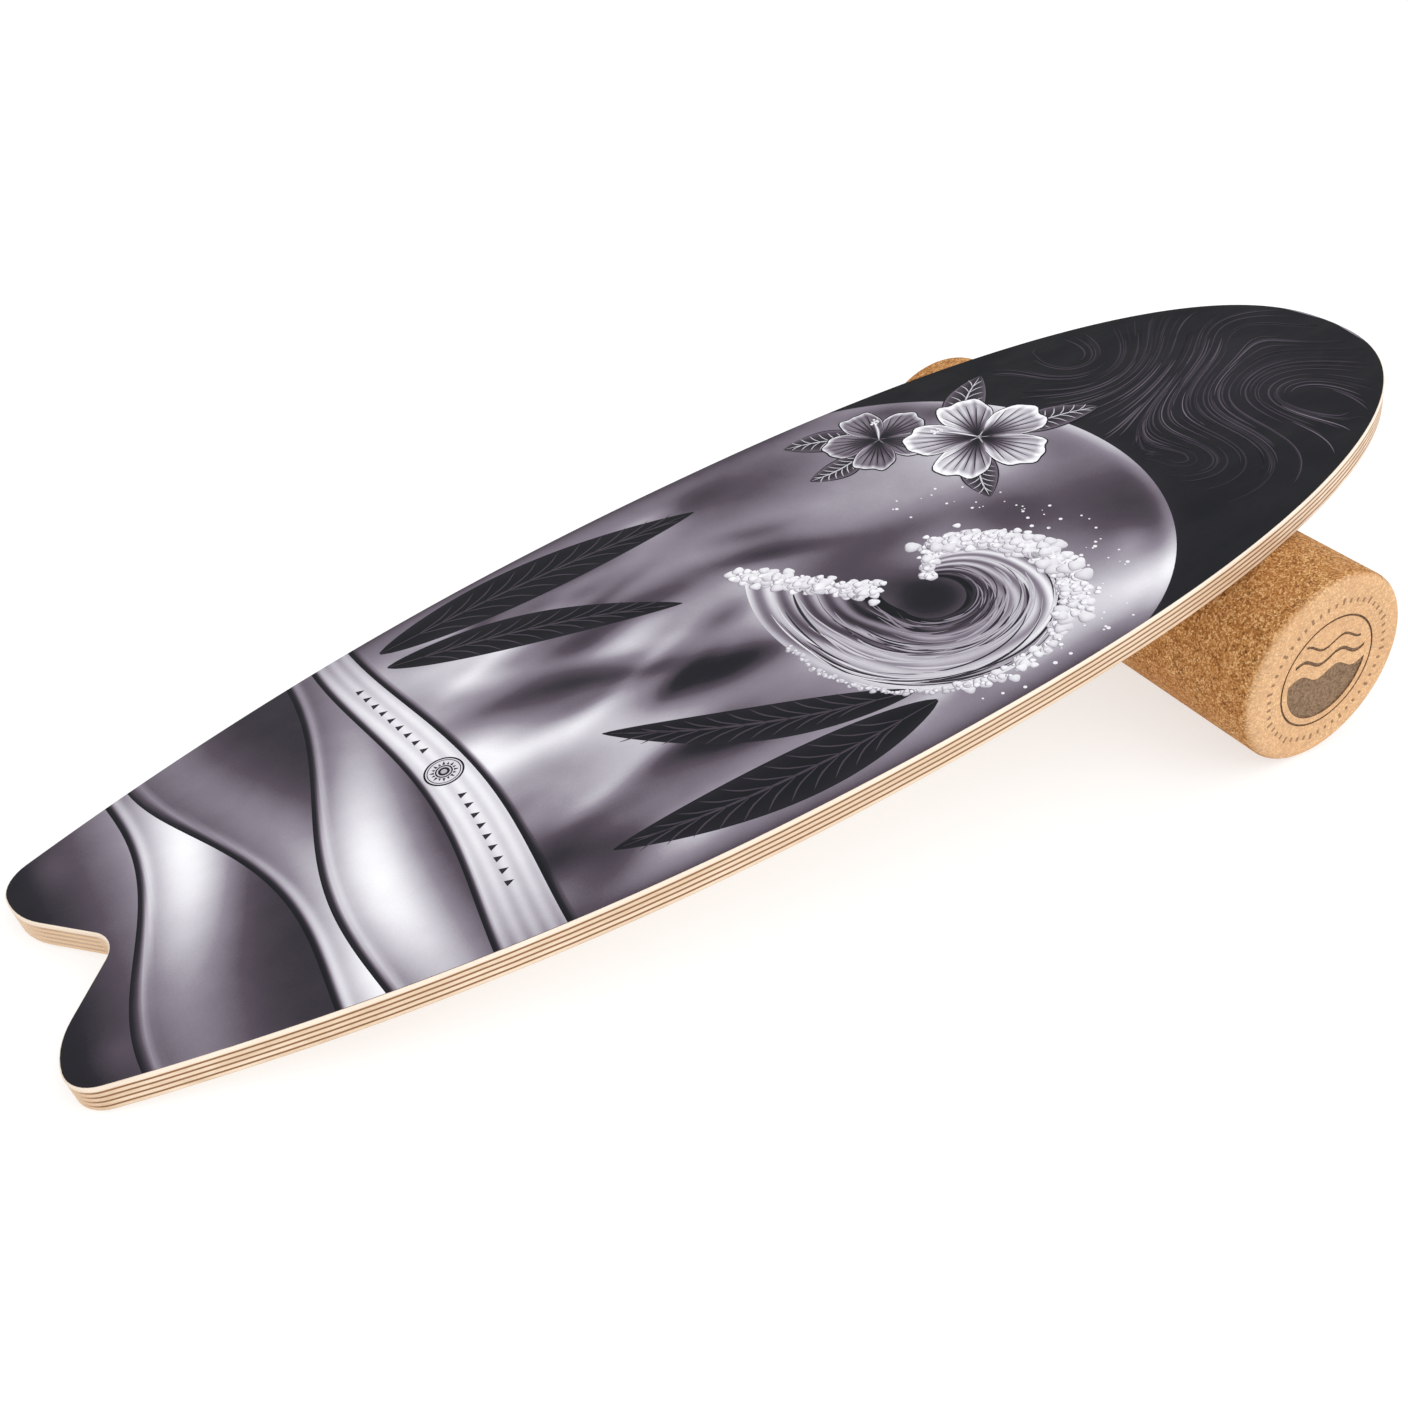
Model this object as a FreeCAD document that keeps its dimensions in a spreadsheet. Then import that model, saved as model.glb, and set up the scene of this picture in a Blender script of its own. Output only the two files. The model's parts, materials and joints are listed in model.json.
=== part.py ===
import FreeCAD, Part
import math
import os

import Sketcher

# Balance board: a plywood deck with a fish tail, resting tail-down on a cork roller.
#
# Deck pieces are drawn flat in the deck's own frame and then placed together:
#   X runs from the fin tips to the nose, Y across the deck, Z up from the underside.
# Roller pieces are drawn about the roller's centre, with Y along its axis.

os.makedirs("parts", exist_ok=True)
doc = FreeCAD.newDocument("balance_board")

# ---------------------------------------------------------------- driving sizes, in mm
SIZES = {
    "deck_length": 785.0,
    "deck_half_width": 141.0,
    "widest_from_tail": 425.0,
    "nose_taper": 2.11,
    "nose_fullness": 2.34,
    "tail_pull_in": 67.0,
    "tail_sweep": 2.25,
    "fin_corner_start": 12.5,
    "fin_inner_radius": 42.0,
    "notch_angle": 50.0,
    "notch_radius": 15.0,
    "face_ply": 2.4,
    "long_ply": 1.85,
    "cross_ply": 1.1,
    "film_thickness": 0.25,
    "arris_radius": 0.8,
    "roller_radius": 55.0,
    "roller_length": 330.0,
    "roller_from_tail": 608.0,
    "roller_edge_radius": 5.5,
    "core_radius": 15.0,
    "core_length": 250.0,
    "core_play": 0.05,
    "mark_radius": 33.0,
    "mark_line": 1.2,
    "mark_depth": 0.8,
    "wave_height": 2.6,
    "wave_length": 13.5,
    "stop_length": 180.0,
    "stop_width": 20.0,
    "stop_height": 12.0,
    "screw_radius": 2.0,
    "screw_head_radius": 4.0,
    "screw_spacing": 70.0,
    "roller_gap": 0.3,
    "stop_gap": 0.5,
}

sheet = doc.addObject("Spreadsheet::Sheet", "sizes")
for row, (name, value) in enumerate(SIZES.items(), start=1):
    sheet.set(f"A{row}", name)
    sheet.set(f"B{row}", str(value))
    sheet.setAlias(f"B{row}", name)
doc.recompute()


def size(name):
    """The value of one driving size."""
    return SIZES[name]


# ---------------------------------------------------------------- sizes that follow
PLY_COUNT = 9
PLIES_HOLDING_SCREWS = 5


def ply_size(number):
    """Odd plies have their grain along the deck, even ones run across it and are thinner."""
    if number in (1, PLY_COUNT):
        return "face_ply"
    return "long_ply" if number % 2 else "cross_ply"


def ply_thickness(number):
    """The thickness of one ply, counted from the top."""
    return size(ply_size(number))


def ply_bottom(number):
    """Height of a ply's lower face above the deck's underside; ply 1 is the top one."""
    return sum(ply_thickness(k) for k in range(number + 1, PLY_COUNT + 1))


BOARD_THICKNESS = ply_bottom(0)

# The roller's side has moved this far out from its axis at the height of a stop's free edge.
drop_to_stop_edge = size("roller_radius") + size("roller_gap") - size("stop_height")
ROLLER_REACH = math.sqrt(size("roller_radius") ** 2 - drop_to_stop_edge**2)
NOSE_STOP_FACE = size("roller_from_tail") + ROLLER_REACH + size("stop_gap")
TAIL_STOP_FACE = size("deck_length") - NOSE_STOP_FACE

# The deck leans on two round things that both stand on the floor: the roller, below its
# underside, and the rounded lower arris of its fin tips, above its underside.
arris = size("arris_radius")
along = size("roller_from_tail") - arris
across = size("roller_radius") + size("roller_gap") + arris
centre_distance = math.hypot(along, across)
TILT = math.asin(across / centre_distance)
TILT += math.asin((size("roller_radius") - arris) / centre_distance)

# The middle of the whole object stands over the origin.
deck_low_x = arris * math.cos(TILT) - (BOARD_THICKNESS - arris) * math.sin(TILT) - arris
deck_high_x = (size("deck_length") - arris) * math.cos(TILT) - arris * math.sin(TILT) + arris
TAIL_X = -(deck_low_x + deck_high_x) / 2
TAIL_Z = arris * (1 - math.sin(TILT) - math.cos(TILT))
ROLLER_X = TAIL_X + arris * (math.cos(TILT) - math.sin(TILT))
ROLLER_X += math.sqrt(centre_distance**2 - (size("roller_radius") - arris) ** 2)

DECK_PLACE = FreeCAD.Placement(
    FreeCAD.Vector(TAIL_X, 0, TAIL_Z),
    FreeCAD.Rotation(FreeCAD.Vector(0, 1, 0), -math.degrees(TILT)),
)
ROLLER_PLACE = FreeCAD.Placement(
    FreeCAD.Vector(ROLLER_X, 0, size("roller_radius")),
    FreeCAD.Rotation(),
)


# ---------------------------------------------------------------- helpers
def new_body(name):
    """An empty body for one sub-part."""
    body = doc.addObject("PartDesign::Body", name)
    body.Label = name
    return body


def origin_plane(body, role):
    """One of the body's own origin planes, such as XY_Plane."""
    return next(f for f in body.Origin.OriginFeatures if f.Role == role)


def new_sketch(body, name, role="XY_Plane", lift=0.0):
    """A sketch on one of the body's origin planes, moved along that plane's normal."""
    sketch = body.newObject("Sketcher::SketchObject", name)
    sketch.AttachmentSupport = [(origin_plane(body, role), "")]
    sketch.MapMode = "FlatFace"
    sketch.AttachmentOffset = FreeCAD.Placement(FreeCAD.Vector(0, 0, lift), FreeCAD.Rotation())
    return sketch


def vec(x, y):
    """A point in a sketch."""
    return FreeCAD.Vector(x, y, 0)


def circle(x, y, radius):
    """A whole circle in a sketch."""
    return Part.Circle(vec(x, y), FreeCAD.Vector(0, 0, 1), radius)


def polyline(sketch, points):
    """A closed outline of straight lines, with its corners tied together."""
    first = sketch.GeometryCount
    last = first + len(points) - 1
    for start, end in zip(points, points[1:] + points[:1]):
        sketch.addGeometry(Part.LineSegment(vec(*start), vec(*end)), False)
    for line in range(first, last + 1):
        following = line + 1 if line < last else first
        sketch.addConstraint(Sketcher.Constraint("Coincident", line, 2, following, 1))


def pad(body, sketch, length_alias):
    """A straight pad whose length follows a cell of the size sheet."""
    feature = body.newObject("PartDesign::Pad", sketch.Name + "_pad")
    feature.Profile = sketch
    feature.setExpression("Length", f"sizes.{length_alias}")
    sketch.Visibility = False
    body.Tip = feature
    doc.recompute()
    return feature


def revolve(body, sketch):
    """A full turn of a half section about the sketch's vertical axis."""
    feature = body.newObject("PartDesign::Revolution", sketch.Name + "_turned")
    feature.Profile = sketch
    feature.ReferenceAxis = (sketch, ["V_Axis"])
    feature.Angle = 360
    sketch.Visibility = False
    body.Tip = feature
    doc.recompute()
    return feature


def edges_at_height(feature, height):
    """Names of the edges that lie wholly at one height in a body's own frame."""
    names = []
    for number, edge in enumerate(feature.Shape.Edges, start=1):
        box = edge.BoundBox
        if abs(box.ZMin - height) < 1e-4 and abs(box.ZMax - height) < 1e-4:
            names.append(f"Edge{number}")
    return names


def round_over(body, feature, height, alias):
    """Rounds every edge of a face at one height."""
    fillet = body.newObject("PartDesign::Fillet", feature.Name + "_round")
    fillet.Base = (feature, edges_at_height(feature, height))
    fillet.setExpression("Radius", f"sizes.{alias}")
    body.Tip = fillet
    doc.recompute()
    return fillet


# ---------------------------------------------------------------- the deck's outline
def tail_side(x, inset):
    """Point on the deck's side behind its widest station, moved inwards by the inset."""
    span = size("widest_from_tail")
    back = (span - x) / span
    half_width = size("deck_half_width") - size("tail_pull_in") * back ** size("tail_sweep")
    slope = size("tail_pull_in") * size("tail_sweep") / span * back ** (size("tail_sweep") - 1)
    stretch = math.hypot(1, slope)
    return x + inset * slope / stretch, half_width - inset / stretch, math.atan(slope)


def nose_side(angle, inset):
    """Point on the nose's superellipse, from its widest station (90) to its tip (0 degrees)."""
    length = size("deck_length") - size("widest_from_tail")
    taper, fullness = size("nose_taper"), size("nose_fullness")
    across_share = math.sin(math.radians(angle))
    along_share = (1 - across_share**fullness) ** (1 / taper)
    normal_x = taper * along_share ** (taper - 1) / length
    normal_y = fullness * across_share ** (fullness - 1) / size("deck_half_width")
    stretch = math.hypot(normal_x, normal_y)
    x = size("widest_from_tail") + length * along_share - inset * normal_x / stretch
    return x, size("deck_half_width") * across_share - inset * normal_y / stretch


def deck_outline(sketch, inset=0.0):
    """The fish-tailed outline: one curve round the nose, then two fins and a notch."""
    # Left side, from the fin's shoulder to the nose tip. The right side mirrors it.
    stations = (size("fin_corner_start"), 40, 80, 135, 200, 275, 350)
    side = [tail_side(x, inset)[:2] for x in stations]
    side += [nose_side(angle, inset) for angle in (90, 75, 62, 50, 40, 31, 23, 15, 7.5)]
    tip = [(size("deck_length") - inset, 0.0)]
    around = side + tip + [(x, -y) for x, y in reversed(side)]
    lean = tail_side(size("fin_corner_start"), 0.0)[2]
    curve = Part.BSplineCurve()
    curve.interpolate(
        Points=[vec(*point) for point in around],
        InitialTangent=vec(math.cos(lean), math.sin(lean)),
        FinalTangent=vec(-math.cos(lean), math.sin(lean)),
    )
    sketch.addGeometry(curve, False)

    # The fin's outer corner is the circle that touches both its side and its rearmost line.
    shoulder_x, shoulder_y, _ = tail_side(size("fin_corner_start"), 0.0)
    corner_radius = shoulder_x / (1 - math.sin(lean))
    tip_y = shoulder_y - corner_radius * math.cos(lean)
    inner_radius = size("fin_inner_radius")
    slant = math.radians(size("notch_angle"))
    straight_x = inner_radius * (1 - math.sin(slant))
    straight_y = tip_y - inner_radius * math.cos(slant)
    notch_radius = size("notch_radius")
    notch_x = straight_x + straight_y / math.tan(slant) - notch_radius / math.sin(slant)

    corner_radius -= inset
    inner_radius -= inset
    notch_radius += inset
    corner_centre = (corner_radius + inset, tip_y)
    inner_centre = (inner_radius + inset, tip_y)

    def arc(centre, radius, start_angle, end_angle, side_sign):
        """An arc of the left fin, or its mirror image on the right one."""
        points = []
        for angle in (start_angle, (start_angle + end_angle) / 2, end_angle):
            x = centre[0] + radius * math.cos(angle)
            y = centre[1] + radius * math.sin(angle)
            points.append(vec(x, side_sign * y))
        sketch.addGeometry(Part.Arc(*points), False)
        return points[2]

    quarter = math.pi / 2
    line_starts = []
    for sign in (1, -1):
        arc(corner_centre, corner_radius, quarter + lean, 2 * quarter, sign)
        line_starts.append(arc(inner_centre, inner_radius, 2 * quarter, 3 * quarter - slant, sign))
    notch_reach = quarter - slant
    for start, sign in zip(line_starts, (1, -1)):
        end = vec(
            notch_x + notch_radius * math.cos(notch_reach),
            sign * notch_radius * math.sin(notch_reach),
        )
        sketch.addGeometry(Part.LineSegment(start, end), False)
    arc((notch_x, 0.0), notch_radius, notch_reach, -notch_reach, 1)


def screw_points():
    """Where the screws stand, in the deck's frame: three through each stop."""
    half = size("stop_width") / 2
    stations = (NOSE_STOP_FACE + half, TAIL_STOP_FACE - half)
    return [(x, k * size("screw_spacing")) for x in stations for k in (-1, 0, 1)]


# ---------------------------------------------------------------- the deck's plies and film
deck_parts = []
for number in range(1, PLY_COUNT + 1):
    ply = new_body(f"ply_{number}")
    outline = new_sketch(ply, f"ply_{number}_outline")
    deck_outline(outline)
    if number > PLY_COUNT - PLIES_HOLDING_SCREWS:
        for x, y in screw_points():
            outline.addGeometry(circle(x, y, size("screw_radius")), False)
    sheet_of_wood = pad(ply, outline, ply_size(number))
    if number == 1:
        round_over(ply, sheet_of_wood, ply_thickness(number), "arris_radius")
    if number == PLY_COUNT:
        # Only the outer edge is rounded, not the rims of the screw holes.
        rounded = ply.newObject("PartDesign::Fillet", "ply_9_round")
        outer = []
        for name in edges_at_height(sheet_of_wood, 0.0):
            edge = sheet_of_wood.Shape.getElement(name)
            if not (edge.isClosed() and edge.Length < 20):
                outer.append(name)
        rounded.Base = (sheet_of_wood, outer)
        rounded.setExpression("Radius", "sizes.arris_radius")
        ply.Tip = rounded
        doc.recompute()
    lift = FreeCAD.Placement(FreeCAD.Vector(0, 0, ply_bottom(number)), FreeCAD.Rotation())
    ply.Placement = DECK_PLACE.multiply(lift)
    deck_parts.append(ply)

film = new_body("printed_film")
film_outline = new_sketch(film, "film_outline")
deck_outline(film_outline, inset=size("arris_radius"))
pad(film, film_outline, "film_thickness")
lift = FreeCAD.Placement(FreeCAD.Vector(0, 0, BOARD_THICKNESS), FreeCAD.Rotation())
film.Placement = DECK_PLACE.multiply(lift)
deck_parts.append(film)


# ---------------------------------------------------------------- stops under the deck
def make_stop(name, middle_x):
    """A round-ended wooden bar glued and screwed across the underside."""
    stop = new_body(name)
    shape = new_sketch(stop, f"{name}_shape")
    half_length = size("stop_length") / 2
    half_width = size("stop_width") / 2
    straight = half_length - half_width
    shape.addGeometry(Part.LineSegment(vec(half_width, -straight), vec(half_width, straight)), False)
    shape.addGeometry(
        Part.Arc(vec(half_width, straight), vec(0, half_length), vec(-half_width, straight)), False
    )
    shape.addGeometry(Part.LineSegment(vec(-half_width, straight), vec(-half_width, -straight)), False)
    shape.addGeometry(
        Part.Arc(vec(-half_width, -straight), vec(0, -half_length), vec(half_width, -straight)), False
    )
    bar = pad(stop, shape, "stop_height")
    rounded = round_over(stop, bar, 0.0, "arris_radius")
    drill = new_sketch(stop, f"{name}_drill")
    for k in (-1, 0, 1):
        drill.addGeometry(circle(0, k * size("screw_spacing"), size("screw_radius")), False)
    doc.recompute()
    holes = stop.newObject("PartDesign::Hole", f"{name}_holes")
    holes.Profile = drill
    holes.Threaded = False
    holes.DepthType = "ThroughAll"
    holes.HoleCutType = "Countersink"
    holes.HoleCutCountersinkAngle = 90
    holes.setExpression("Diameter", "2 * sizes.screw_radius")
    holes.setExpression("HoleCutDiameter", "2 * sizes.screw_head_radius")
    drill.Visibility = False
    stop.Tip = holes
    doc.recompute()
    if holes.Shape.Volume > rounded.Shape.Volume - 1:
        holes.Reversed = True
        doc.recompute()
    place = FreeCAD.Placement(FreeCAD.Vector(middle_x, 0, -size("stop_height")), FreeCAD.Rotation())
    stop.Placement = DECK_PLACE.multiply(place)
    deck_parts.append(stop)


def make_screws(name, middle_x):
    """Three countersunk screws with a cross slot, heads flush with the stop."""
    screws = new_body(name)
    screws.AllowCompound = True
    head = size("screw_head_radius")
    shank = size("screw_radius")
    bite = sum(ply_thickness(k) for k in range(PLY_COUNT - PLIES_HOLDING_SCREWS + 1, PLY_COUNT + 1))
    top = size("stop_height") + bite
    section = new_sketch(screws, f"{name}_section", "XZ_Plane")
    polyline(section, [(0, 0), (head, 0), (shank, head - shank), (shank, top), (0, top)])
    turned = revolve(screws, section)
    slot = new_sketch(screws, f"{name}_slot")
    arm, half = 0.62 * head, 0.14 * head
    cross = [(half, half), (arm, half), (arm, -half), (half, -half), (half, -arm), (-half, -arm)]
    cross += [(-x, -y) for x, y in cross]
    polyline(slot, cross)
    recess = screws.newObject("PartDesign::Pocket", f"{name}_recess")
    recess.Profile = slot
    recess.Length = 1.4
    slot.Visibility = False
    screws.Tip = recess
    doc.recompute()
    if recess.Shape.Volume > turned.Shape.Volume - 1:
        recess.Reversed = True
        doc.recompute()
    row_start = screws.newObject("PartDesign::LinearPattern", f"{name}_row")
    row_start.Originals = [turned, recess]
    row_start.Direction = (origin_plane(screws, "XZ_Plane"), [""])
    row_start.Occurrences = 3
    row_start.setExpression("Length", "2 * sizes.screw_spacing")
    screws.Tip = row_start
    doc.recompute()
    start_y = -size("screw_spacing")
    if row_start.Shape.BoundBox.YMin < -size("screw_spacing"):
        start_y = size("screw_spacing")
    place = FreeCAD.Vector(middle_x, start_y, -size("stop_height"))
    screws.Placement = DECK_PLACE.multiply(FreeCAD.Placement(place, FreeCAD.Rotation()))
    deck_parts.append(screws)


half_bar = size("stop_width") / 2
for end, middle_x in (("nose", NOSE_STOP_FACE + half_bar), ("tail", TAIL_STOP_FACE - half_bar)):
    make_stop(f"{end}_stop", middle_x)
    make_screws(f"{end}_stop_screws", middle_x)

# ---------------------------------------------------------------- the cork roller
roller = new_body("cork_roller")
section = new_sketch(roller, "roller_section")
radius = size("roller_radius")
end = size("roller_length") / 2
soft = size("roller_edge_radius")
bore = size("core_radius") + size("core_play")
bore_end = size("core_length") / 2 + 0.3
corner = soft * (1 - math.sqrt(0.5))
section_path = [
    Part.LineSegment(vec(0, -end), vec(radius - soft, -end)),
    Part.Arc(vec(radius - soft, -end), vec(radius - corner, -end + corner), vec(radius, soft - end)),
    Part.LineSegment(vec(radius, soft - end), vec(radius, end - soft)),
    Part.Arc(vec(radius, end - soft), vec(radius - corner, end - corner), vec(radius - soft, end)),
    Part.LineSegment(vec(radius - soft, end), vec(0, end)),
    Part.LineSegment(vec(0, end), vec(0, bore_end)),
    Part.LineSegment(vec(0, bore_end), vec(bore, bore_end)),
    Part.LineSegment(vec(bore, bore_end), vec(bore, -bore_end)),
    Part.LineSegment(vec(bore, -bore_end), vec(0, -bore_end)),
    Part.LineSegment(vec(0, -bore_end), vec(0, -end)),
]
for piece in section_path:
    section.addGeometry(piece, False)
turned = revolve(roller, section)

# An engraved ring, burnt into both ends, round two level wave lines and a filled sea.
mark = new_sketch(roller, "end_mark", "XZ_Plane", end)
mark_radius = size("mark_radius")
line = size("mark_line")
sea_radius = mark_radius - 4 * line
mark.addGeometry(circle(0, 0, mark_radius), False)
mark.addGeometry(circle(0, 0, mark_radius - line), False)


def wave_line(height, half_width):
    """A level wavy line of the mark, from its left to its right end."""
    points = []
    for step in range(-8, 9):
        x = half_width * step / 8
        rise = size("wave_height") * math.sin(math.pi * x / size("wave_length"))
        points.append(vec(x, height + rise))
    curve = Part.BSplineCurve()
    curve.interpolate(points)
    return curve, points[0], points[-1]


for height, gap in ((9.0, 2.2), (18.0, 1.6)):
    half_width = math.sqrt(sea_radius**2 - height**2) - 1
    lower, lower_left, lower_right = wave_line(height - gap / 2, half_width)
    upper, upper_left, upper_right = wave_line(height + gap / 2, half_width)
    for piece in (lower, upper):
        mark.addGeometry(piece, False)
    mark.addGeometry(Part.LineSegment(lower_left, upper_left), False)
    mark.addGeometry(Part.LineSegment(lower_right, upper_right), False)

sea_top, sea_left, sea_right = wave_line(0.0, sea_radius)
mark.addGeometry(sea_top, False)
sea_depth = math.hypot(sea_left.x, sea_left.y)
mark.addGeometry(Part.Arc(sea_left, vec(0, -sea_depth), sea_right), False)
engraving = roller.newObject("PartDesign::Pocket", "engraving")
engraving.Profile = mark
engraving.setExpression("Length", "sizes.mark_depth")
mark.Visibility = False
roller.Tip = engraving
doc.recompute()
if engraving.Shape.Volume > turned.Shape.Volume - 1:
    engraving.Reversed = True
    doc.recompute()
both_ends = roller.newObject("PartDesign::Mirrored", "both_ends")
both_ends.Originals = [engraving]
both_ends.MirrorPlane = (origin_plane(roller, "XZ_Plane"), [""])
roller.Tip = both_ends
doc.recompute()
roller.Placement = ROLLER_PLACE

core = new_body("roller_core")
core_section = new_sketch(core, "core_section")
half_core = size("core_length") / 2
polyline(
    core_section,
    [
        (0, -half_core),
        (size("core_radius") - 1, -half_core),
        (size("core_radius"), 1 - half_core),
        (size("core_radius"), half_core - 1),
        (size("core_radius") - 1, half_core),
        (0, half_core),
    ],
)
revolve(core, core_section)
core.Placement = ROLLER_PLACE

# ---------------------------------------------------------------- check and write
doc.recompute()
for thing in doc.Objects:
    if {"Invalid", "Error"} & set(thing.State):
        raise RuntimeError(f"{thing.Name} did not build")
for body in deck_parts + [roller, core]:
    if body.Shape.isNull() or not body.Shape.isValid():
        raise RuntimeError(f"{body.Label} has no valid shape")
    body.Shape.exportStep(f"parts/{body.Label}.step")
    box = body.Shape.BoundBox
    print(f"{body.Label:20s} solids {len(body.Shape.Solids)} volume {body.Shape.Volume:10.0f} "
          f"x {box.XMin:.2f} {box.XMax:.2f} y {box.YMin:.2f} {box.YMax:.2f} "
          f"z {box.ZMin:.2f} {box.ZMax:.2f}")
print(f"tilt {math.degrees(TILT):.3f} roller x {ROLLER_X:.3f} tail x {TAIL_X:.3f} z {TAIL_Z:.3f}")
print(f"stop faces {NOSE_STOP_FACE:.2f} {TAIL_STOP_FACE:.2f} board {BOARD_THICKNESS:.2f}")
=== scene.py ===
import json
import math
import random

import bpy
import numpy as np
from mathutils import Matrix, Vector


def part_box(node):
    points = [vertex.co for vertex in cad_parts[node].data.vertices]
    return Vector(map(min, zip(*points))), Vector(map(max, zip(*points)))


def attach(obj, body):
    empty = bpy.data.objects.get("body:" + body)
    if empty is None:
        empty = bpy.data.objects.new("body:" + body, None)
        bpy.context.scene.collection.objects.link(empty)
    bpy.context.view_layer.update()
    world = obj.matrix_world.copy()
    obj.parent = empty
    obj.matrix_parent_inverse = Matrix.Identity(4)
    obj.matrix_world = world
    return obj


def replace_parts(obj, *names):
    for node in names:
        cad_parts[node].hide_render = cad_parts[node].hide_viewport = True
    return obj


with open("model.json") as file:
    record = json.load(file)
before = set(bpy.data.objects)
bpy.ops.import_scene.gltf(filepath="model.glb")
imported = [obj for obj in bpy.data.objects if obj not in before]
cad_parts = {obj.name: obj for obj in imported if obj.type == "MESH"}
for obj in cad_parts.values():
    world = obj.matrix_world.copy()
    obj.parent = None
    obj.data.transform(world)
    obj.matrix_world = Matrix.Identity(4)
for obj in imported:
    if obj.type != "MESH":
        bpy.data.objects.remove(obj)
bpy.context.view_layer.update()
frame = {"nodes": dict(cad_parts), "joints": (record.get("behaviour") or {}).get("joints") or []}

# Looks of the balance board. The CAD nodes keep their meshes and get materials made of nodes;
# the printed picture is drawn as thin closed shapes on the deck's film, each with its own tones.

# ---------------------------------------------------------------- sizes, in mm, as in the CAD
LENGTH = 785.0
HALF_WIDTH = 141.0
WIDEST = 425.0
NOSE_TAPER, NOSE_FULLNESS = 2.11, 2.34
PULL_IN, SWEEP = 67.0, 2.25
FIN_START = 12.5
FIN_INNER_RADIUS = 42.0
NOTCH_ANGLE = math.radians(50)
NOTCH_RADIUS = 15.0
FACE_PLY, LONG_PLY, CROSS_PLY = 2.4, 1.85, 1.1
BOARD = 2 * FACE_PLY + 3 * LONG_PLY + 4 * CROSS_PLY
FILM = 0.25
FILM_TOP = BOARD + FILM
ARRIS = 0.8
ROLLER_LENGTH = 330.0
MARK_RADIUS = 33.0
PLY_COUNT = 9
MM = 0.001

# The deck's own frame, read from the frame's slide: X along the deck, Y across, Z off its top.
along = Vector(next(j for j in frame["joints"] if j["name"] == "deck_travel")["axis"]).normalized()
off = Vector((-along.z, 0.0, along.x))
TILT = math.atan2(along.z, along.x)
under = frame["nodes"][f"ply_{PLY_COUNT}"].data.vertices
lowest_off = min(v.co.dot(off) for v in under)
tail_along = min(v.co.dot(along) for v in under)
DECK_START = along * tail_along + off * lowest_off
DECK = Matrix((
    (along.x, 0.0, off.x, DECK_START.x),
    (0.0, 1.0, 0.0, 0.0),
    (along.z, 0.0, off.z, DECK_START.z),
    (0.0, 0.0, 0.0, 1.0),
))


def on_deck(u, v, w=FILM_TOP):
    """A point given in millimetres in the deck's own frame, in the row frame in metres."""
    return DECK @ Vector((u * MM, v * MM, w * MM))


roller_low, roller_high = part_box("cork_roller")
ROLLER_CENTRE = (roller_low + roller_high) / 2


# ---------------------------------------------------------------- short calls for shader nodes
def srgb(red, green, blue):
    """A display colour, 0 to 255, as the linear colour that a shader takes."""
    linear = []
    for value in (red, green, blue):
        value /= 255
        linear.append(value / 12.92 if value <= 0.04045 else ((value + 0.055) / 1.055) ** 2.4)
    return (*linear, 1.0)


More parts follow.
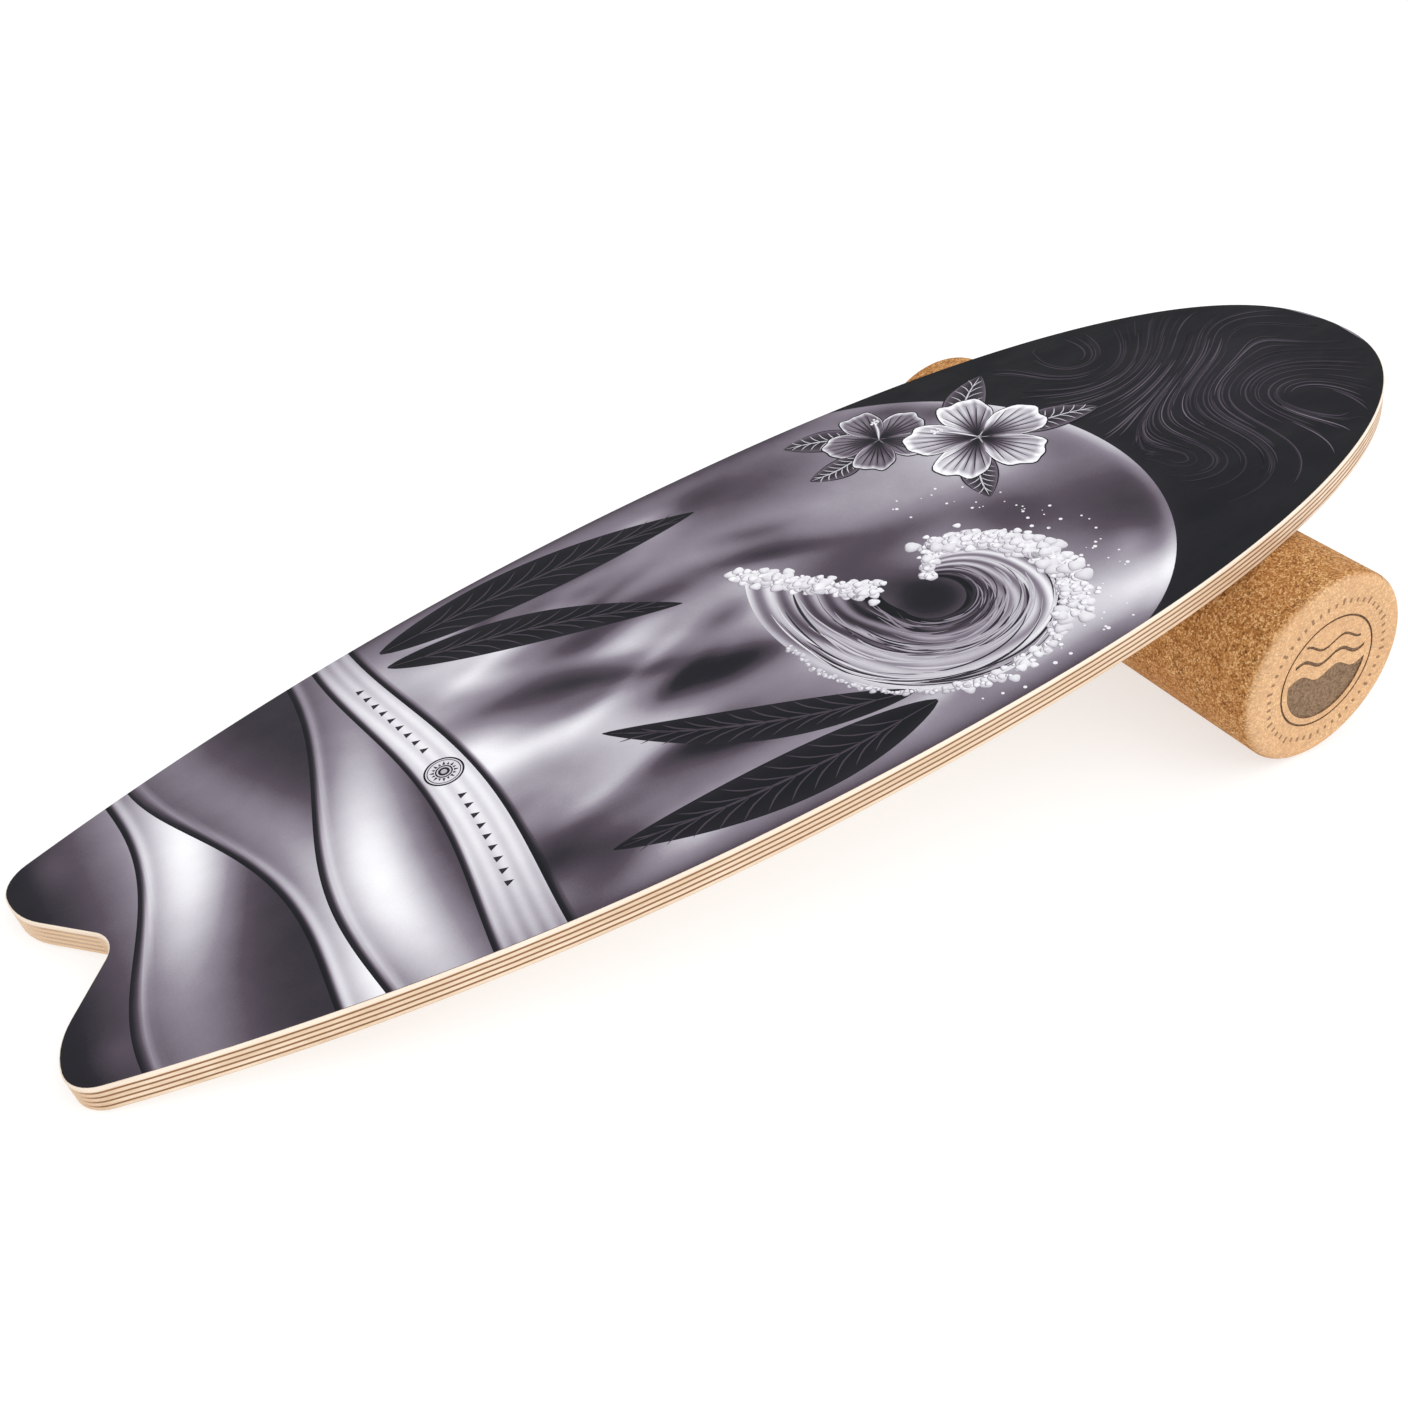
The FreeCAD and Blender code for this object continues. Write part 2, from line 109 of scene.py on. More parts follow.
class Paint:
    """One procedural material. Its methods add nodes and return their output sockets."""

    def __init__(self, name, **fixed):
        self.material = bpy.data.materials.new(name)
        self.material.use_nodes = True
        self.tree = self.material.node_tree
        self.shader = self.tree.nodes["Principled BSDF"]
        for socket, value in fixed.items():
            self.shader.inputs[socket.replace("_", " ")].default_value = value

    def node(self, kind, inputs, out=0, **settings):
        """Adds a shader node; inputs maps its sockets to values or to other nodes' outputs."""
        made = self.tree.nodes.new("ShaderNode" + kind)
        for setting, value in settings.items():
            setattr(made, setting, value)
        for socket, value in inputs.items():
            self.put(made.inputs[socket], value)
        return made.outputs[out]

    def put(self, socket, value):
        if isinstance(value, bpy.types.NodeSocket):
            self.tree.links.new(value, socket)
        else:
            socket.default_value = value

    def calc(self, operation, a, b=0.0, c=0.0):
        return self.node("Math", {0: a, 1: b, 2: c}, operation=operation)

    def span(self, value, low, high, to_low=0.0, to_high=1.0):
        """The value's place between low and high, eased and held at both ends."""
        inputs = {0: value, 1: low, 2: high, 3: to_low, 4: to_high}
        return self.node("MapRange", inputs, interpolation_type="SMOOTHSTEP")

    def mix(self, share, a, b, blend="MIX"):
        return self.node("Mix", {0: share, 6: a, 7: b}, out=2, data_type="RGBA", blend_type=blend)

    def ramp(self, value, stops):
        """Colours by value, from (place, colour) stops in rising order."""
        made = self.tree.nodes.new("ShaderNodeValToRGB")
        self.put(made.inputs[0], value)
        elements = made.color_ramp.elements
        while len(elements) < len(stops):
            elements.new(0.5)
        for element, (place, colour) in zip(elements, stops):
            element.position = place
            element.color = colour
        return made.outputs[0]

    def noise(self, at, scale, detail=2.0, rough=0.5, warp=0.0):
        inputs = {"Vector": at, "Scale": scale, "Detail": detail, "Roughness": rough}
        inputs["Distortion"] = warp
        return self.node("TexNoise", inputs)

    def cells(self, at, scale, feature="F1", out=0):
        """Granules: out 0 is a distance, out 1 a colour that is the same all over a granule."""
        return self.node("TexVoronoi", {"Vector": at, "Scale": scale}, out=out, feature=feature)

    def object_place(self, start=(0, 0, 0), turn=(0, 0, 0)):
        """Place on the object in millimetres, in a frame that starts and is turned as given."""
        place = self.node("TexCoord", {}, out=3)
        inputs = {0: place, 1: start, 2: turn, 3: (MM, MM, MM)}
        return self.node("Mapping", inputs, vector_type="TEXTURE")

    def stretch(self, place, x, y, z):
        return self.node("VectorMath", {0: place, 1: (x, y, z)}, operation="MULTIPLY")

    def part(self, place, axis):
        return self.node("SeparateXYZ", {0: place}, out="XYZ".index(axis))

    def facing(self, direction):
        """How squarely the surface faces along a direction, either way."""
        normal = self.node("TexCoord", {}, out=1)
        dot = self.node("VectorMath", {0: normal, 1: direction}, out=1, operation="DOT_PRODUCT")
        return self.calc("ABSOLUTE", dot)

    def bump(self, height, strength, depth_mm):
        inputs = {"Height": height, "Strength": strength, "Distance": depth_mm * MM}
        return self.node("Bump", inputs)

    def finish(self, colour, roughness, normal):
        self.put(self.shader.inputs["Base Color"], colour)
        self.put(self.shader.inputs["Roughness"], roughness)
        self.put(self.shader.inputs["Normal"], normal)
        return self.material


def dress(node, material):
    """Gives a CAD node its material through the object, so its mesh stays as packed."""
    piece = frame["nodes"][node]
    for slot in piece.material_slots:
        slot.link = "OBJECT"
        slot.material = material


# ---------------------------------------------------------------- birch plies
DECK_TURN = (0.0, -TILT, 0.0)
ACROSS = (0.0, 1.0, 0.0)
FIBRE_STRETCH = 0.012


def birch(name, grain_along_deck):
    """A birch veneer: fine fibres where its side shows, darker pores where its ends do."""
    paint = Paint(name, Specular_IOR_Level=0.3)
    place = paint.object_place(DECK_START, DECK_TURN)
    height = paint.part(place, "Z")
    if grain_along_deck:
        fibre_place = paint.stretch(place, FIBRE_STRETCH, 1.0, 1.0)
        end = paint.facing(tuple(along))
    else:
        fibre_place = paint.stretch(place, 1.0, FIBRE_STRETCH, 1.0)
        end = paint.facing(ACROSS)
    fibres = paint.noise(fibre_place, 2.6, detail=4, rough=0.65)
    streaks = paint.noise(fibre_place, 0.16, detail=3, rough=0.55, warp=0.6)
    clouds = paint.noise(place, 0.012, detail=2)
    pores = paint.noise(place, 2.4, detail=3, rough=0.7)
    figure = paint.calc("MULTIPLY_ADD", fibres, 0.35, paint.calc("MULTIPLY", streaks, 0.65))
    side_wood = paint.ramp(figure, [
        (0.30, srgb(204, 178, 148)),
        (0.47, srgb(225, 203, 179)),
        (0.60, srgb(236, 219, 199)),
    ])
    # Level is the height within one pair of plies, a long one with a cross one over it.
    above_face = paint.calc("SUBTRACT", height, FACE_PLY - LONG_PLY)
    level = paint.calc("WRAP", above_face, LONG_PLY + CROSS_PLY, 0.0)
    if grain_along_deck:
        end_wood = paint.ramp(pores, [(0.30, srgb(200, 162, 122)), (0.65, srgb(232, 202, 166))])
    else:
        # The ends of the cross plies' fibres soak up the oil, most of all in the middle.
        middle = paint.calc("SUBTRACT", level, LONG_PLY + CROSS_PLY / 2)
        rim = paint.span(paint.calc("ABSOLUTE", middle), 0.30, CROSS_PLY / 2)
        core = paint.ramp(pores, [(0.30, srgb(102, 68, 42)), (0.66, srgb(148, 108, 74))])
        end_wood = paint.mix(rim, core, srgb(206, 172, 138))
    colour = paint.mix(paint.span(end, 0.35, 0.9), side_wood, end_wood)
    warmth = paint.mix(paint.span(clouds, 0.35, 0.65), srgb(255, 251, 245), srgb(244, 232, 218))
    colour = paint.mix(0.6, colour, warmth, "MULTIPLY")

    # Glue shows as a hair-thin darker line wherever two veneers meet, but not on the faces.
    seams = []
    for seam in (0.0, LONG_PLY, LONG_PLY + CROSS_PLY):
        gap = paint.calc("ABSOLUTE", paint.calc("SUBTRACT", level, seam))
        seams.append(paint.span(gap, 0.05, 0.16, 1.0, 0.0))
    glue = paint.calc("MAXIMUM", seams[0], paint.calc("MAXIMUM", seams[1], seams[2]))
    off_bottom = paint.span(height, 1.5, 2.0)
    off_top = paint.span(height, BOARD - 2.0, BOARD - 1.5, 1.0, 0.0)
    inside = paint.calc("MULTIPLY", off_bottom, off_top)
    glue = paint.calc("MULTIPLY", paint.calc("MULTIPLY", glue, inside), 0.35)
    colour = paint.mix(glue, colour, srgb(150, 104, 66))

    # The top veneer is the palest.
    top_rim = paint.span(height, BOARD - FACE_PLY, BOARD - FACE_PLY + 0.8)
    colour = paint.mix(paint.calc("MULTIPLY", top_rim, 0.62), colour, srgb(246, 236, 222))
    # Painted shade on the lower arris: darker towards the bottom edge, where it turns down, but
    # none on the flat underside.
    near_floor = paint.span(height, 0.2, 1.1, 0.45, 0.0)
    not_level = paint.span(paint.facing(tuple(off)), 0.5, 0.95, 1.0, 0.0)
    lower_arris_shade = paint.calc("MULTIPLY", near_floor, not_level)
    colour = paint.mix(lower_arris_shade, colour, srgb(168, 134, 102))

    relief = paint.calc("MULTIPLY_ADD", fibres, 0.6, paint.calc("MULTIPLY", pores, 0.4))
    roughness = paint.span(streaks, 0.3, 0.7, 0.42, 0.58)
    return paint.finish(colour, roughness, paint.bump(relief, 0.25, 0.08))


birch_long = birch("birch_long", True)
birch_cross = birch("birch_cross", False)
for number in range(1, PLY_COUNT + 1):
    dress(f"ply_{number}", birch_long if number % 2 else birch_cross)


# ---------------------------------------------------------------- cork
BIG_GRANULES, SMALL_GRANULES = 1.05, 2.4
TICKS, TICK_RADIUS = 48, 41.0
HALF_ROLLER = ROLLER_LENGTH / 2


def cork():
    """Pressed granules of several sizes, pitted, with the end marks burnt into them."""
    paint = Paint("cork", Specular_IOR_Level=0.15)
    place = paint.object_place(ROLLER_CENTRE)
    wander = paint.node("TexNoise", {"Vector": place, "Scale": 1.2, "Detail": 2.0}, out=1)
    shake = {0: wander, 1: (0.22, 0.22, 0.22), 2: place}
    shaken = paint.node("VectorMath", shake, operation="MULTIPLY_ADD")
    big = paint.part(paint.cells(shaken, BIG_GRANULES, out=1), "X")
    small = paint.part(paint.cells(shaken, SMALL_GRANULES, out=1), "X")
    big_gap = paint.cells(shaken, BIG_GRANULES, feature="DISTANCE_TO_EDGE")
    small_gap = paint.cells(shaken, SMALL_GRANULES, feature="DISTANCE_TO_EDGE")
    clouds = paint.noise(place, 0.03, detail=3)
    patches = paint.noise(place, 0.16, detail=3, rough=0.6)
    dust = paint.noise(place, 3.2, detail=3, rough=0.7)
    tone = paint.calc("MULTIPLY_ADD", big, 0.50, paint.calc("MULTIPLY", small, 0.28))
    tone = paint.calc("MULTIPLY_ADD", dust, 0.30, tone)
    tone = paint.calc("MULTIPLY_ADD", patches, 0.45, tone)
    granules = paint.ramp(tone, [
        (0.38, srgb(100, 58, 26)),
        (0.56, srgb(149, 98, 50)),
        (0.76, srgb(188, 135, 78)),
        (0.94, srgb(215, 165, 106)),
        (1.00, srgb(236, 196, 144)),
    ])

    # A few granules are dark bark, and every large one has a darker seam round it.
    bark = paint.part(paint.cells(shaken, 0.75, out=1), "Y")
    bark = paint.calc("GREATER_THAN", bark, 0.965)
    colour = paint.mix(paint.calc("MULTIPLY", bark, 0.62), granules, srgb(84, 46, 22))
    seam = paint.span(big_gap, 0.0, 0.09, 0.50, 0.0)
    colour = paint.mix(seam, colour, srgb(120, 70, 34))
    colour = paint.mix(paint.span(clouds, 0.35, 0.7, 0.0, 0.35), colour, srgb(176, 112, 58))

    # The sawn and sanded ends are paler than the turned side.
    depth = paint.calc("ABSOLUTE", paint.part(place, "Y"))
    end_face = paint.span(paint.facing(ACROSS), 0.15, 0.9)
    colour = paint.mix(paint.calc("MULTIPLY", end_face, 0.50), colour, srgb(240, 201, 160))

    # A ring of short ticks is scorched round each mark, every fourth one longer.
    flat = paint.stretch(place, 1.0, 0.0, 1.0)
    reach = paint.node("VectorMath", {0: flat}, out=1, operation="LENGTH")
    turn = paint.calc("ARCTAN2", paint.part(place, "Z"), paint.part(place, "X"))
    tick = paint.calc("PINGPONG", paint.calc("MULTIPLY", turn, TICKS / (2 * math.pi)), 0.5)
    long_tick = paint.calc("PINGPONG", paint.calc("MULTIPLY", turn, TICKS / (8 * math.pi)), 0.5)
    tick_end = paint.span(long_tick, 0.10, 0.16, TICK_RADIUS + 2.6, TICK_RADIUS + 1.3)
    ticks = paint.span(tick, 0.13, 0.18, 1.0, 0.0)
    ticks = paint.calc("MULTIPLY", ticks, paint.span(reach, TICK_RADIUS - 1.5, TICK_RADIUS - 1.1))
    past = paint.calc("SUBTRACT", reach, tick_end)
    ticks = paint.calc("MULTIPLY", ticks, paint.span(past, -0.2, 0.2, 1.0, 0.0))
    ticks = paint.calc("MULTIPLY", ticks, paint.span(depth, HALF_ROLLER - 1.0, HALF_ROLLER - 0.5))
    scorch = paint.calc("MULTIPLY", ticks, paint.span(dust, 0.3, 0.6, 0.45, 0.85))
    colour = paint.mix(scorch, colour, srgb(112, 84, 60))

    # The engraved marks are charred brown on their floor and walls.
    charred = paint.span(reach, MARK_RADIUS + 0.2, MARK_RADIUS + 0.6, 1.0, 0.0)
    sunk = paint.span(depth, HALF_ROLLER - 0.30, HALF_ROLLER - 0.10, 1.0, 0.0)
    shell = paint.span(depth, HALF_ROLLER - 3.0, HALF_ROLLER - 2.0)
    charred = paint.calc("MULTIPLY", paint.calc("MULTIPLY", charred, sunk), shell)
    char = paint.ramp(tone, [(0.35, srgb(80, 60, 46)), (0.95, srgb(142, 116, 92))])
    colour = paint.mix(paint.calc("MULTIPLY", charred, 0.95), colour, char)

    pits = paint.span(paint.noise(place, 1.3, detail=4, rough=0.6), 0.30, 0.42)
    relief = paint.calc("MULTIPLY_ADD", paint.span(small_gap, 0.0, 0.25), 0.4, tone)
    relief = paint.calc("MULTIPLY_ADD", pits, 0.8, relief)
    roughness = paint.span(dust, 0.3, 0.7, 0.7, 0.9)
    return paint.finish(colour, roughness, paint.bump(relief, 0.30, 0.22))


dress("cork_roller", cork())


# ---------------------------------------------------------------- stops, screws and dowel
def beech(name, start, turn, colours):
    """Plain hardwood with short flecks, its grain across the deck."""
    paint = Paint(name, Specular_IOR_Level=0.3)
    place = paint.object_place(start, turn)
    fibre_place = paint.stretch(place, 1.0, 0.03, 1.0)
    fibres = paint.noise(fibre_place, 1.8, detail=4, rough=0.6)
    rings = paint.noise(fibre_place, 0.22, detail=2, warp=0.8)
    flecks = paint.span(paint.noise(fibre_place, 4.5, detail=1), 0.62, 0.70)
    figure = paint.calc("MULTIPLY_ADD", fibres, 0.4, paint.calc("MULTIPLY", rings, 0.6))
    colour = paint.ramp(figure, [(0.3, colours[0]), (0.5, colours[1]), (0.68, colours[2])])
    colour = paint.mix(paint.calc("MULTIPLY", flecks, 0.35), colour, srgb(150, 98, 58))
    roughness = paint.span(rings, 0.3, 0.7, 0.40, 0.55)
    return paint.finish(colour, roughness, paint.bump(fibres, 0.2, 0.08))


bar_colours = (srgb(196, 146, 100), srgb(219, 174, 128), srgb(233, 196, 152))
for end in ("nose", "tail"):
    dress(f"{end}_stop", beech("beech", DECK_START, DECK_TURN, bar_colours))
dowel_colours = (srgb(190, 150, 104), srgb(214, 178, 134), srgb(230, 202, 162))
dress("roller_core", beech("dowel", ROLLER_CENTRE, (0, 0, 0), dowel_colours))


def zinc():
    """Bright zinc plating with a slight yellow cast, scuffed by the driver."""
    paint = Paint("zinc_steel", Metallic=1.0)
    place = paint.object_place(DECK_START, DECK_TURN)
    cloud = paint.noise(place, 0.9, detail=3)
    scuffs = paint.noise(paint.stretch(place, 1.0, 0.15, 1.0), 6.0, detail=3, rough=0.7)
    colour = paint.ramp(cloud, [(0.35, srgb(176, 172, 160)), (0.65, srgb(206, 204, 196))])
    roughness = paint.span(scuffs, 0.3, 0.75, 0.22, 0.50)
    return paint.finish(colour, roughness, paint.bump(scuffs, 0.15, 0.03))


zinc_steel = zinc()
for end in ("nose", "tail"):
    dress(f"{end}_stop_screws", zinc_steel)


# ---------------------------------------------------------------- the print's own material
def print_ink(name):
    """Airbrush greys with a violet cast, from the mesh's tone, under a satin lacquer."""
    paint = Paint(name, Specular_IOR_Level=0.08)
    place = paint.object_place(DECK_START, DECK_TURN)
    tone = paint.node("Attribute", {}, out=2, attribute_name="tone")
    speckle = paint.noise(place, 1.7, detail=3, rough=0.6)
    cloud = paint.noise(place, 0.06, detail=3)
    grain = paint.calc("MULTIPLY_ADD", paint.calc("SUBTRACT", speckle, 0.5), 0.07, tone)
    grain = paint.calc("MULTIPLY_ADD", paint.calc("SUBTRACT", cloud, 0.5), 0.06, grain)
    colour = paint.ramp(grain, [
        (0.00, srgb(22, 24, 27)),
        (0.14, srgb(40, 38, 45)),
        (0.34, srgb(82, 73, 84)),
        (0.56, srgb(138, 131, 143)),
        (0.78, srgb(197, 194, 202)),
        (1.00, srgb(246, 246, 249)),
    ])
    smears = paint.noise(paint.stretch(place, 0.4, 1.0, 1.0), 0.05, detail=4, rough=0.6)
    roughness = paint.span(smears, 0.3, 0.7, 0.48, 0.64)
    skin = paint.noise(place, 0.5, detail=2)
    relief = paint.calc("MULTIPLY_ADD", speckle, 0.3, skin)
    return paint.finish(colour, roughness, paint.bump(relief, 0.06, 0.05))


ink = print_ink("print")


# ---------------------------------------------------------------- the film's outline, in mm
def film_edges():
    """Outer and inner edge of the film's +Y half, each as stations and distances out.

    The formulas are those of the CAD outline, moved inwards by the arris.
    """
    tail = np.linspace(FIN_START, WIDEST, 160)
    back = (WIDEST - tail) / WIDEST
    slope = PULL_IN * SWEEP / WIDEST * back ** (SWEEP - 1)
    stretch = np.hypot(1, slope)
    side_u = tail + ARRIS * slope / stretch
    side_v = HALF_WIDTH - PULL_IN * back**SWEEP - ARRIS / stretch

    angle = np.radians(np.linspace(90, 0, 240)[1:])
    nose = LENGTH - WIDEST
    across = np.sin(angle)
    ahead = np.maximum(1 - across**NOSE_FULLNESS, 0) ** (1 / NOSE_TAPER)
    lean_u = NOSE_TAPER * ahead ** (NOSE_TAPER - 1) / nose
    lean_v = NOSE_FULLNESS * across ** (NOSE_FULLNESS - 1) / HALF_WIDTH
    stretch = np.hypot(lean_u, lean_v)
    nose_u = WIDEST + nose * ahead - ARRIS * lean_u / stretch
    nose_v = HALF_WIDTH * across - ARRIS * lean_v / stretch

    lean = math.atan(slope[0])
    shoulder = HALF_WIDTH - PULL_IN * back[0] ** SWEEP
    corner = FIN_START / (1 - math.sin(lean))
    tip_v = shoulder - corner * math.cos(lean)
    turn = np.linspace(math.pi, math.pi / 2 + lean, 24)
    fin_u = corner + (corner - ARRIS) * np.cos(turn)
    fin_v = tip_v + (corner - ARRIS) * np.sin(turn)
    outer = np.concatenate([fin_u, side_u[1:], nose_u]), np.concatenate([fin_v, side_v[1:], nose_v])

    turn = np.linspace(math.pi, 1.5 * math.pi - NOTCH_ANGLE, 24)
    inner_u = FIN_INNER_RADIUS + (FIN_INNER_RADIUS - ARRIS) * np.cos(turn)
    inner_v = tip_v + (FIN_INNER_RADIUS - ARRIS) * np.sin(turn)
    line_u = FIN_INNER_RADIUS * (1 - math.sin(NOTCH_ANGLE))
    line_v = tip_v - FIN_INNER_RADIUS * math.cos(NOTCH_ANGLE)
    notch_u = line_u + line_v / math.tan(NOTCH_ANGLE) - NOTCH_RADIUS / math.sin(NOTCH_ANGLE)
    turn = np.linspace(math.pi / 2 - NOTCH_ANGLE, 0, 16)
    notch_arc_u = notch_u + (NOTCH_RADIUS + ARRIS) * np.cos(turn)
    notch_arc_v = (NOTCH_RADIUS + ARRIS) * np.sin(turn)
    inner = np.concatenate([inner_u, notch_arc_u]), np.concatenate([inner_v, notch_arc_v])
    return outer, inner


(OUTER_U, OUTER_V), (INNER_U, INNER_V) = film_edges()
FILM_START, FILM_END, NOTCH_END = OUTER_U[0], OUTER_U[-1], INNER_U[-1]


def reach_at(u):
    """The film's half width at a station."""
    return np.interp(u, OUTER_U, OUTER_V)


# ---------------------------------------------------------------- printed shapes
INK_STEP = 0.0015
BADGE_LAYER, FLOWER_LAYER = 20, 120


class Sheet:
    """Closed flat shapes gathered into one mesh, each with a tone at every point.

    A new shape lies a hair higher than the last, by one layer. Places are in millimetres in
    the deck's frame: u along it from the tail, v across it.
    """

    def __init__(self, name, first_layer=1, low=FILM_TOP - 0.01):
        self.name = name
        self.low = low
        self.points = []
        self.faces = []
        self.tones = []
        self.layer = first_layer
        self.loop_start = self.loop_end = None
        self.held = False

    def loop_layers(self, count):
        """From here on, uses the next layers over and over; a second call goes above them."""
        self.loop_start = max(self.layer, self.loop_end or 0)
        self.loop_end = self.loop_start + count
        self.layer = self.loop_start

    def same_layer(self, held):
        """Starts or ends a run of shapes of like tone that share one layer."""
        self.held = held
        if not held:
            self.layer += 1

    def add(self, u, v, faces, tone, top=None):
        """Adds one flat shape, its faces anticlockwise from above, and closes it below."""
        if top is None:
            top = FILM_TOP + self.layer * INK_STEP
            if not self.held:
                self.layer += 1
            if self.layer == self.loop_end:
                self.layer = self.loop_start
        u, v, tone = (np.ravel(values) for values in np.broadcast_arrays(u, v, tone))
        start = len(self.points)
        self.points += [on_deck(a, b, top) for a, b in zip(u, v)]
        self.tones += list(tone)
        self.faces += [[start + k for k in face] for face in faces]

        # An edge that only one face uses is on the rim, which gets a wall and a bottom.
        used = {(face[k - 1], face[k]) for face in faces for k in range(len(face))}
        following = {a: b for a, b in used if (b, a) not in used}
        below = {}
        for k in following:
            below[k] = len(self.points)
            self.points.append(on_deck(u[k], v[k], self.low))
            self.tones.append(self.tones[start + k])
        for a, b in following.items():
            self.faces.append([start + b, start + a, below[a], below[b]])
        while following:
            first = next(iter(following))
            loop = [first]
            after = following.pop(first)
            while after != first:
                loop.append(after)
                after = following.pop(after)
            self.faces.append([below[k] for k in reversed(loop)])

    def grid(self, u, v, tone):
        """A patch whose points stand in rows, turned face up whichever way they run."""
        rows, columns = np.shape(u)
        area = 0.0
        for i, j in ((0, 0), (rows - 2, columns - 2), (rows // 2 - 1, columns // 2 - 1)):
            area += (u[i + 1][j] - u[i][j]) * (v[i][j + 1] - v[i][j])
            area -= (v[i + 1][j] - v[i][j]) * (u[i][j + 1] - u[i][j])
        faces = []
        for i in range(rows - 1):
            for j in range(columns - 1):
                a, b = i * columns + j, i * columns + j + 1
                face = [a, a + columns, b + columns, b]
                faces.append(face if area > 0 else face[::-1])
        self.add(u, v, faces, tone)

    def disc(self, centre, outline, shade, rings=4):
        """A shape round a centre; shade(share of the way out, angle) gives its tone."""
        outline = np.array(outline) - centre
        count = len(outline)
        u, v, tones = [centre[0]], [centre[1]], [float(shade(0.0, 0.0))]
        for circle in range(1, rings + 1):
            share = circle / rings
            for du, dv in outline:
                u.append(centre[0] + share * du)
                v.append(centre[1] + share * dv)
                tones.append(float(shade(share, math.atan2(dv, du))))
        faces = []
        for step in range(count):
            after = (step + 1) % count
            faces.append([0, 1 + step, 1 + after])
            for circle in range(1, rings):
                inner = 1 + (circle - 1) * count
                a, b = inner + step, inner + after
                faces.append([a, a + count, b + count, b])
        self.add(u, v, faces, np.array(tones))

    def stroke(self, path, width, tone, edge=None, blunt=0.15, steps=None):
        """A brush line along smooth points, tapering to both ends."""
        line = smooth(path, steps or 5 * (len(path) - 1))
        tangent = np.gradient(line, axis=0)
        tangent /= np.maximum(np.hypot(*tangent.T), 1e-9)[:, None]
        side = np.stack([-tangent[:, 1], tangent[:, 0]], axis=1)
        share = np.linspace(0, 1, len(line))
        half = width / 2 * np.maximum(np.sin(math.pi * share), 0) ** 0.6
        half = np.maximum(half, width / 2 * blunt)
        lanes = (-1, 0, 1) if edge is not None else (-1, 1)
        u = np.stack([line[:, 0] + k * half * side[:, 0] for k in lanes], axis=1)
        v = np.stack([line[:, 1] + k * half * side[:, 1] for k in lanes], axis=1)
        body = np.broadcast_to(tone, share.shape)
        rim = np.broadcast_to(tone if edge is None else edge, share.shape)
        tones = np.stack([rim if lane else body for lane in lanes], axis=1)
        self.grid(u, v, tones)

    def build(self):
        """Makes the mesh and its object, which rides on the deck."""
        mesh = bpy.data.meshes.new(self.name)
        mesh.from_pydata(self.points, [], self.faces)
        mesh.validate()
        held = mesh.attributes.new("tone", "FLOAT", "POINT")
        held.data.foreach_set("value", np.clip(self.tones, 0, 1).astype(np.float32))
        mesh.materials.append(ink)
        piece = bpy.data.objects.new(self.name, mesh)
        bpy.context.scene.collection.objects.link(piece)
        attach(piece, "deck")
        return piece


def smooth(path, steps):
    """Evenly numbered points on a Catmull-Rom curve through the given ones."""
    knots = np.array(path, float)
    knots = np.vstack([2 * knots[0] - knots[1], knots, 2 * knots[-1] - knots[-2]])
    spots = np.linspace(0, len(path) - 1, steps + 1)
    index = np.minimum(spots.astype(int), len(path) - 2)
    t = (spots - index)[:, None]
    a, b, c, d = (knots[index + k] for k in range(4))
    return 0.5 * (2 * b + (c - a) * t + (2 * a - 5 * b + 4 * c - d) * t**2
                  + (3 * b - a - 3 * c + d) * t**3)


def ring(centre, size, count=14):
    """The points of a small round outline."""
    turns = np.linspace(0, 2 * math.pi, count + 1)[:-1]
    return np.stack([centre[0] + size * np.cos(turns), centre[1] + size * np.sin(turns)], axis=1)


def blob(u, v, at_u, at_v, size_u, size_v, lean=0.0):
    """A soft round spot, 1 in its middle; lean turns it, in degrees."""
    turn = math.radians(lean)
    du, dv = u - at_u, v - at_v
    x = du * math.cos(turn) + dv * math.sin(turn)
    y = dv * math.cos(turn) - du * math.sin(turn)
    return np.exp(-((x / size_u) ** 2) - (y / size_v) ** 2)


# ---------------------------------------------------------------- the film and its soft shading
MOON_U, MOON_RADIUS = 456.0, 148.0
SHADES = (
    # place, size, lean in degrees and strength of each larger spot of shade or light
    (447, -52, 24, 24, 0, -0.55),
    (425, -10, 34, 36, 0, -0.30),
    (470, 6, 40, 16, -10, -0.22),
    (440, 104, 52, 30, 0, -0.26),
    (384, -18, 13, 40, 0, 0.26),
    (470, -112, 80, 16, 8, 0.24),
    (534, -116, 34, 12, 14, 0.30),
    (545, 42, 26, 30, 0, 0.20),
    (575, -60, 46, 56, 20, -0.40),
    (520, -22, 26, 26, 0, -0.24),
    (583, 14, 15, 20, 0, -0.12),
    (556, 88, 16, 10, 30, -0.20),
    (548, -84, 14, 9, 20, 0.14),
    (250, -84, 120, 22, 4, -0.24),
    (360, 100, 60, 24, 0, -0.14),
    (240, 12, 44, 36, 0, -0.24),
    (214, -84, 40, 18, 0, -0.16),
    (545, 112, 26, 20, 0, -0.30),
    (236, 78, 40, 16, -10, 0.22),
    (318, -34, 34, 40, 0, -0.16),
)


